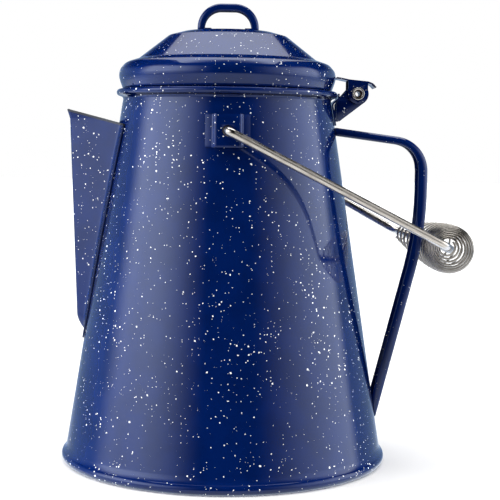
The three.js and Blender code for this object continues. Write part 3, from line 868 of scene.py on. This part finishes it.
def lid_line():
    """The lid's upper surface, from the centre out over the dome, the rolled edge and down the skirt."""
    crown, seat = LID_HIGH.z, WALL_HIGH.z + GAP
    return [
        (0, crown),
        (13, crown, 12),
        (25, crown - 0.8, 8),
        (33.4, crown - 3.1, 3),
        (50.4, 227, 1.2),
        (57.6, 224.6, 6),
        (60.7, 220.9, 5),
        (LID_HIGH.x, 217.2, 8),
        (60.5, 214, 3),
        (59.1, seat, 0.8),
        (57, seat, 0.5),
        (56.6, seat - 0.7, 0.5),
        (56.6, LID_LOW.z),
    ]


def lid():
    """The dome, its rolled edge and its skirt, spun from one sheet."""
    outer = rounded(lid_line(), 5)
    inner = offset(outer, SHEET)
    inner[0] = (0, outer[0][1] - SHEET)
    middle, half = (outer[-1][0] + inner[-1][0]) / 2, SHEET / 2
    end = arc(middle, LID_LOW.z + half, half, 0, -180, 6)[1:-1]
    outline = inner + list(reversed(end)) + list(reversed(outer))
    piece = revolve("lid_dome", outline)
    paint(piece, "sparse", lambda p: 0.45)
    enamelled(piece, "lid", "lid_shell")


def lid_grip():
    """An arched channel whose feet turn in and are welded to the crown."""
    base, top, half = GRIP_LOW.z, GRIP_HIGH.z, 17.4
    lean, shoulder = 0.7, 13.5
    corners = [
        (-half, base - 3),
        (-half + lean, top, shoulder),
        (half - lean, top, shoulder),
        (half, base - 3),
    ]
    path = rounded(corners, 24)
    piece = channel("lid_grip", path, GRIP_HIGH.y, 4.1, 1.5, lambda point: point.z > base + 0.05)
    feet = []
    for side in (-1, 1):
        low, high = sorted((side * (half - SHEET), side * (half - 8)))
        outline = rounded_bar(low, high, base, base + SHEET, 0.2, 2)
        feet.append(plate(f"grip_foot_{side + 1}", outline, -GRIP_HIGH.y + 0.1, GRIP_HIGH.y - 0.1))
    combine(piece, feet, "UNION")
    paint(piece, "sparse", lambda p: 1.0)
    enamelled(piece, "lid", "lid_handle")


def hinge_strap():
    """A strap welded to the lid's rolled edge, with ears over the bracket's arms and a turned-down tail."""
    half, ear_inner, ear = LEAF_HIGH.y, 6.65, 5.6
    line = rounded(
        [(61.7, 218.2), (63.5, 218, 8), (68.5, 217, 8), (79.4, 216, 2), (82, 215, 3), (LEAF_HIGH.x, 212.9)]
    )
    piece = plate("hinge_strap", sheet_outline(line), -half, half)
    outline = [(HINGE.x - ear, 216.4), *arc(HINGE.x, HINGE.z, ear, 180, 360, 32), (HINGE.x + ear, 215.4)]
    sides = enumerate((-half, ear_inner))
    ears = [plate(f"strap_ear_{i}", outline, y, y + half - ear_inner) for i, y in sides]
    combine(piece, ears, "UNION")
    soften_edges(combine(piece, [hinge_drill("ear_drill")], "DIFFERENCE"), 0.25)
    worn_from, worn_over = 81.5, 1.5
    paint(piece, "bare", lambda p: max(0, min(1, (p.x - worn_from) / worn_over)) * 0.8)
    enamelled(piece, "lid", "lid_hinge_leaf")


# Bail


def catmull(points, t):
    """A point on a smooth curve through three points, with t from 0 to 1."""
    a, b, c = (Vector(p) for p in points)
    before, after = a * 2 - b, c * 2 - b
    p = (before, a, b, c) if t <= 0.5 else (a, b, c, after)
    u = t * 2 if t <= 0.5 else t * 2 - 1

    def knot(start, one, two):
        return start + math.sqrt((two - one).length)

    k0 = 0.0
    k1 = knot(k0, p[0], p[1])
    k2 = knot(k1, p[1], p[2])
    k3 = knot(k2, p[2], p[3])
    k = k1 + (k2 - k1) * u
    a1 = p[0] * ((k1 - k) / (k1 - k0)) + p[1] * ((k - k0) / (k1 - k0))
    a2 = p[1] * ((k2 - k) / (k2 - k1)) + p[2] * ((k - k1) / (k2 - k1))
    a3 = p[2] * ((k3 - k) / (k3 - k2)) + p[3] * ((k - k2) / (k3 - k2))
    b1 = a1 * ((k2 - k) / (k2 - k0)) + a2 * ((k - k0) / (k2 - k0))
    b2 = a2 * ((k3 - k) / (k3 - k1)) + a3 * ((k - k1) / (k3 - k1))
    return b1 * ((k2 - k) / (k2 - k1)) + b2 * ((k - k1) / (k2 - k1))


def grip_line(steps):
    """Evenly spaced points along the bowed grip."""
    fine = [catmull(BAIL_GRIP, i / 400) for i in range(401)]
    lengths = [0.0]
    for a, b in zip(fine, fine[1:]):
        lengths.append(lengths[-1] + (b - a).length)
    points, k = [], 0
    for i in range(steps + 1):
        goal = lengths[-1] * i / steps
        while k < 399 and lengths[k + 1] < goal:
            k += 1
        share = (goal - lengths[k]) / (lengths[k + 1] - lengths[k])
        points.append(fine[k].lerp(fine[k + 1], share))
    return points


def wire_bend(before, corner, after, reach):
    """A short curve that takes a corner of the wire."""
    start = corner + (before - corner).normalized() * reach
    end = corner + (after - corner).normalized() * reach
    return [quadratic(start, corner, end, k / 10) for k in range(11)]


def bail_rod():
    """One wire, from its upset head inside the front lug, round the grip, to the head in the rear lug."""
    end_y = BAIL_HEAD_Y + BAIL_HEAD_DEPTH / 2
    near_end, far_end = Vector((0, -end_y, PIVOT_Z)), Vector((0, end_y, PIVOT_Z))
    near, far = Vector((0, -BAIL_SHOULDER_Y, PIVOT_Z)), Vector((0, BAIL_SHOULDER_Y, PIVOT_Z))
    grip = grip_line(24)
    centres = [
        near_end,
        *wire_bend(near_end, near, grip[0], SHOULDER_BEND),
        *[near.lerp(grip[0], k / 8) for k in range(1, 8)],
        *wire_bend(near, grip[0], grip[2], GRIP_BEND),
        *grip[3:-3],
        *wire_bend(grip[-3], grip[-1], far, GRIP_BEND),
        *[grip[-1].lerp(far, k / 8) for k in range(1, 8)],
        *wire_bend(grip[-1], far, far_end, SHOULDER_BEND),
        far_end,
    ]
    piece = wire("bail_rod", centres, BAIL_WIRE, 28)
    heads = []
    for side in (-1, 1):
        low, high = sorted((side * BAIL_HEAD_Y, side * (BAIL_HEAD_Y + BAIL_HEAD_DEPTH)))
        radius = BAIL_HEAD_RADIUS
        outline = rounded([(0, low), (radius, low, 0.6), (radius, high, 0.6), (0, high)], 4)
        pivot = Vector((0, 0, PIVOT_Z))
        heads.append(revolve(f"bail_head_{side + 1}", outline, SMALL_ROUND, about_y=pivot))
    combine(piece, heads, "UNION")
    complete(piece, "bail", WIRE_STEEL, "bail_wire")


def coil_grip():
    """A barrel-shaped helix of thin wire wound round the grip."""
    per_turn = 30
    steps = round(COIL_TURNS * per_turn)
    axis = grip_line(800)
    centres = []
    normal = None
    for i in range(steps + 1):
        along = i / steps
        at = (COIL_MARGIN + (1 - 2 * COIL_MARGIN) * along) * (len(axis) - 1)
        k = min(int(at), len(axis) - 2)
        point = axis[k].lerp(axis[k + 1], at - k)
        tangent = (axis[k + 1] - axis[k]).normalized()
        if normal is None:
            normal = tangent.orthogonal().normalized()
        normal = (normal - tangent * normal.dot(tangent)).normalized()
        swell = max(0, math.sin(math.pi * along))
        radius = COIL_END_RADIUS + (COIL_MIDDLE_RADIUS - COIL_END_RADIUS) * swell
        angle = 2 * math.pi * i / per_turn
        centres.append(point + radius * (math.cos(angle) * normal + math.sin(angle) * tangent.cross(normal)))
    piece = wire("coil_grip", centres, COIL_WIRE, 10)
    # The coil takes the darkened copy of the drawn steel, whose darker colour is painted shade.
    complete(piece, "bail", SHADED_COIL_STEEL, "grip_coil")


# Pump and basket


def spun(piece, body, node):
    complete(piece, body, ALUMINIUM, node)


def riser_tube():
    """The plain tube that the water rises in."""
    inner, outer = TUBE_HIGH.x - 0.75, TUBE_HIGH.x
    corners = [(inner, TUBE_LOW.z), (outer, TUBE_LOW.z), (outer, TUBE_HIGH.z), (inner, TUBE_HIGH.z)]
    spun(soften_edges(revolve("riser_tube", corners, SMALL_ROUND), SHARP_EDGE), "pump", "pump_tube")


def riser_bell():
    """A flared bell under the tube, notched so that water can run in."""
    neck = TUBE_HIGH.x + GAP + SHEET
    line = rounded(
        [
            (neck, BELL_HIGH.z),
            (neck, 17, 3),
            (9, 13.5, 5),
            (18, 10, 8),
            (29, 7.5, 5),
            (32, 5.5, 2),
            (33, 1.4),
        ]
    )
    piece = revolve("riser_bell", sheet_outline(line), 96)
    notches = []
    reach, height, half_width = 40, 3.4, 3
    for i in range(3):
        outline = [(-reach, 0), (-reach, height), (reach, height), (reach, 0)]
        notch = plate(f"notch_{i}", outline, -half_width, half_width)
        notch.data.transform(Matrix.Rotation(math.radians(60 * i), 4, "Z"))
        notches.append(notch)
    combine(piece, notches, "DIFFERENCE")
    spun(soften_edges(piece, SHARP_EDGE), "pump", "pump_foot")


def riser_collar():
    """The ring swaged on to the tube, which carries the basket."""
    inner, outer, low, high = TUBE_HIGH.x + GAP, TUBE_HIGH.x + GAP + 3.6, COLLAR_LOW.z, COLLAR_HIGH.z
    outline = rounded(
        [
            (inner, low + 1),
            (inner, low, 0.2),
            (outer, low, 0.7),
            (outer, high, 0.8),
            (inner, high, 0.2),
            (inner, low + 1),
        ],
        4,
    )
    spun(revolve("riser_collar", outline[:-1], SMALL_ROUND), "pump", "tube_collar")


PERFORATION = 1.3
HOLE_RINGS = ((14, 6), (24, 10), (34, 14))  # radius and number of holes


def perforations(z):
    """Rings of small round holes through a level plate."""
    cutters = []
    for radius, count in HOLE_RINGS:
        for i in range(count):
            a = 2 * math.pi * i / count
            x, y = radius * math.cos(a), radius * math.sin(a)
            ends = [(x, y, z - 3), (x, y, z + 3)]
            cutters.append(rod(f"punch_{len(cutters)}", PERFORATION, *ends, sides=16))
    return cutters


def coffee_basket():
    """The cup for the grounds, flanged at its top and perforated in its floor."""
    low, high = CUP_LOW.z, CUP_HIGH.z
    flange_z = high - 1.9
    line = rounded([(7.2, low), (45, low, 3), (47.4, flange_z, 1.6), (CUP_HIGH.x, flange_z)], 8)
    outline = offset(line, -SHEET)
    outline[-1] = (CUP_HIGH.x, high - 1)
    edge = arc(CUP_HIGH.x - 0.45, high - 1.45, 0.45, -90, 90, 6)
    piece = revolve("coffee_basket", line[:-1] + edge + list(reversed(outline[:-1])), 128)
    combine(piece, perforations(low), "DIFFERENCE")
    spun(piece, "basket", "basket_cup")


def basket_chimney():
    """The basket's sleeve round the tube, with a foot that rests on the basket's floor."""
    inner, outer = TUBE_HIGH.x + 0.5, TUBE_HIGH.x + 1.3
    low, high = SLEEVE_LOW.z, SLEEVE_HIGH.z
    outline = rounded(
        [(inner, low), (10, low), (10, low + 0.7), (outer, low + 0.8, 1.2), (outer, high), (inner, high)], 5
    )
    spun(revolve("basket_chimney", outline, SMALL_ROUND), "basket", "basket_sleeve")


def spreader_disc():
    """The perforated plate that spreads the water over the grounds."""
    plate_z, rim_z, hub = DISC_LOW.z, DISC_HIGH.z, TUBE_HIGH.x + 0.9
    line = rounded(
        [
            (hub, plate_z + 2.5),
            (hub, plate_z, 1.1),
            (43.6, plate_z, 1.5),
            (45.4, rim_z - SHEET, 1.5),
            (DISC_HIGH.x, rim_z - SHEET),
        ],
        6,
    )
    piece = revolve("spreader_disc", line + list(reversed(offset(line, -SHEET))), 128)
    combine(piece, perforations(plate_z), "DIFFERENCE")
    spun(piece, "spreader", "spreader_plate")


# Studio

CAMERA_AT = Vector((-5.4, -740, 178.5))
CAMERA_LENS, CAMERA_SENSOR = 93.2, 36
CAMERA_PITCH, CAMERA_YAW, CAMERA_ROLL = 4.57, -1.51, 0.80  # degrees down, to the right and over

# Azimuths in degrees, from -Y towards +X, where a soft box starts, is full, fades and ends
LEFT_BOX, LEFT_STRENGTH = (-110, -86, -70, -14), 3.15
RIGHT_BOX, RIGHT_STRENGTH = (20, 96, 104, 117), 2.15
BOX_HEIGHTS = (-0.25, -0.05, 0.40, 0.75)  # the same along Z
TOP_HALF_WIDTH, TOP_BOW, TOP_STRENGTH = 0.53, 8.0, 3.6
ROOM_COLOUR = (0.42, 0.62, 0.95, 1)
LEFT_GLOW, RIGHT_GLOW, TOP_GLOW = 12.5, 8.3, 1.6


def studio_floor():
    """A plain pale floor, much larger than the object."""
    material, graph, shader = new_material("pale_floor")
    place = graph.add("ShaderNodeTexCoord").outputs["Object"]
    tone = graph.mix(graph.noise(place, 9.0, 2.0), (0.86, 0.86, 0.86, 1), (0.9, 0.9, 0.9, 1))
    graph.put(shader.inputs["Base Color"], tone)
    shader.inputs["Roughness"].default_value = 0.9
    half, count = 6000, 12
    steps = spread(-half, half, count)
    vertices = [(x, y, 0) for y in steps for x in steps]
    floor = new_object("studio_floor", vertices, grid_faces(count + 1, count + 1))
    floor.data.materials.append(material)
    floor.visible_glossy = False
    floor.visible_diffuse = False


def window(graph, value, start, full, fade, end):
    """1 between full and fade, falling smoothly to 0 at start and end."""
    return graph.times(graph.ramp(value, start, full), graph.ramp(value, end, fade))


def studio_light():
    """Soft boxes left and right in front of the object and one above it, drawn on the sky.

    Rough surfaces are lit by a plain glow from the sides and from above, and the backdrop is white.
    """
    world = bpy.data.worlds.new("studio")
    bpy.context.scene.world = world
    world.use_nodes = True
    graph = Graph(world.node_tree)
    direction = graph.add("ShaderNodeTexCoord").outputs["Generated"]
    parts = graph.add("ShaderNodeSeparateXYZ", Vector=direction)
    x, y, z = (parts.outputs[k] for k in "XYZ")
    azimuth = graph.times(graph.math("ARCTAN2", x, graph.times(y, -1.0)), 180 / math.pi)
    level = window(graph, z, *BOX_HEIGHTS)
    left = graph.times(window(graph, azimuth, *LEFT_BOX), LEFT_STRENGTH)
    left = graph.times(left, graph.ramp(z, -0.02, 0.17, 0.45))
    right = graph.times(window(graph, azimuth, *RIGHT_BOX), RIGHT_STRENGTH)
    right = graph.times(right, graph.ramp(z, -0.05, 0.15, 0.75))
    sides = graph.times(graph.plus(left, right), level)
    room = graph.ramp(graph.math("ABSOLUTE", azimuth), 60, 110, 0.0, 0.6)
    room = graph.times(room, graph.ramp(z, 0.45, 0.12))
    ground = graph.ramp(z, -0.1, -0.35, 0.0, 0.9)
    across = graph.math("ABSOLUTE", graph.math("DIVIDE", x, z))
    depth = graph.math("DIVIDE", y, z)
    bow = graph.times(graph.math("POWER", across, 2.0), TOP_BOW)
    above = graph.math("LESS_THAN", across, TOP_HALF_WIDTH)
    above = graph.times(above, graph.ramp(graph.math("SUBTRACT", depth, bow), 0.85, 0.65))
    above = graph.times(above, graph.ramp(depth, -0.15, 0.1))
    above = graph.times(above, graph.math("GREATER_THAN", z, 0.1))
    falloff = graph.plus(graph.times(graph.math("POWER", depth, 2.0), 1.5), 1.0)
    above = graph.math("DIVIDE", graph.times(above, TOP_STRENGTH), falloff)
    neutral = graph.plus(sides, graph.math("MAXIMUM", above, ground))
    left_glow = graph.times(graph.math("POWER", graph.math("MINIMUM", x, 0.0), 4.0), LEFT_GLOW)
    right_glow = graph.times(graph.math("POWER", graph.math("MAXIMUM", x, 0.0), 4.0), RIGHT_GLOW)
    top_glow = graph.times(graph.math("POWER", graph.math("MAXIMUM", z, 0.0), 2.0), TOP_GLOW)
    glow = graph.plus(graph.plus(left_glow, right_glow), top_glow)
    path = graph.add("ShaderNodeLightPath")
    share = path.outputs["Is Diffuse Ray"]
    shiny = graph.math("SUBTRACT", 1.0, share)
    total = graph.plus(graph.times(glow, share), graph.times(neutral, shiny))
    cool = graph.times(room, shiny)
    seen = graph.add("ShaderNodeBackground", Color=(1, 1, 1, 1), Strength=1.0)
    plain = graph.add("ShaderNodeBackground", Color=(1, 1, 1, 1), Strength=total)
    walls = graph.add("ShaderNodeBackground", Color=ROOM_COLOUR, Strength=cool)
    felt = graph.tree.nodes.new("ShaderNodeAddShader")
    graph.tree.links.new(plain.outputs[0], felt.inputs[0])
    graph.tree.links.new(walls.outputs[0], felt.inputs[1])
    camera_ray = path.outputs["Is Camera Ray"]
    mixed = graph.tree.nodes.new("ShaderNodeMixShader")
    graph.put(mixed.inputs[0], camera_ray)
    graph.tree.links.new(felt.outputs[0], mixed.inputs[1])
    graph.tree.links.new(seen.outputs[0], mixed.inputs[2])
    output = graph.add("ShaderNodeOutputWorld")
    graph.tree.links.new(mixed.outputs[0], output.inputs["Surface"])
    bpy.context.scene.view_settings.view_transform = "Standard"


def camera():
    """A long lens a little above the pot's middle, turned and rolled by a degree or so."""
    data = bpy.data.cameras.new("camera")
    data.sensor_width = CAMERA_SENSOR
    data.lens = CAMERA_LENS
    eye = linked("camera", data)
    pitch, yaw, roll = map(math.radians, (CAMERA_PITCH, CAMERA_YAW, CAMERA_ROLL))
    turn = (
        Matrix.Rotation(yaw, 4, "Z")
        @ Matrix.Rotation(math.radians(90) - pitch, 4, "X")
        @ Matrix.Rotation(roll, 4, "Z")
    )
    eye.matrix_world = Matrix.Translation(CAMERA_AT * MM) @ turn
    bpy.context.scene.camera = eye


pot_wall()
pot_bottom()
spout()
side_handle()
lug("front_lug", "bail_lug_front", turned=False)
lug("rear_lug", "bail_lug_rear", turned=True)
rim_bracket()
hinge_rivet()
lid()
lid_grip()
hinge_strap()
bail_rod()
coil_grip()
riser_tube()
riser_bell()
riser_collar()
coffee_basket()
basket_chimney()
spreader_disc()
studio_floor()
studio_light()
camera()
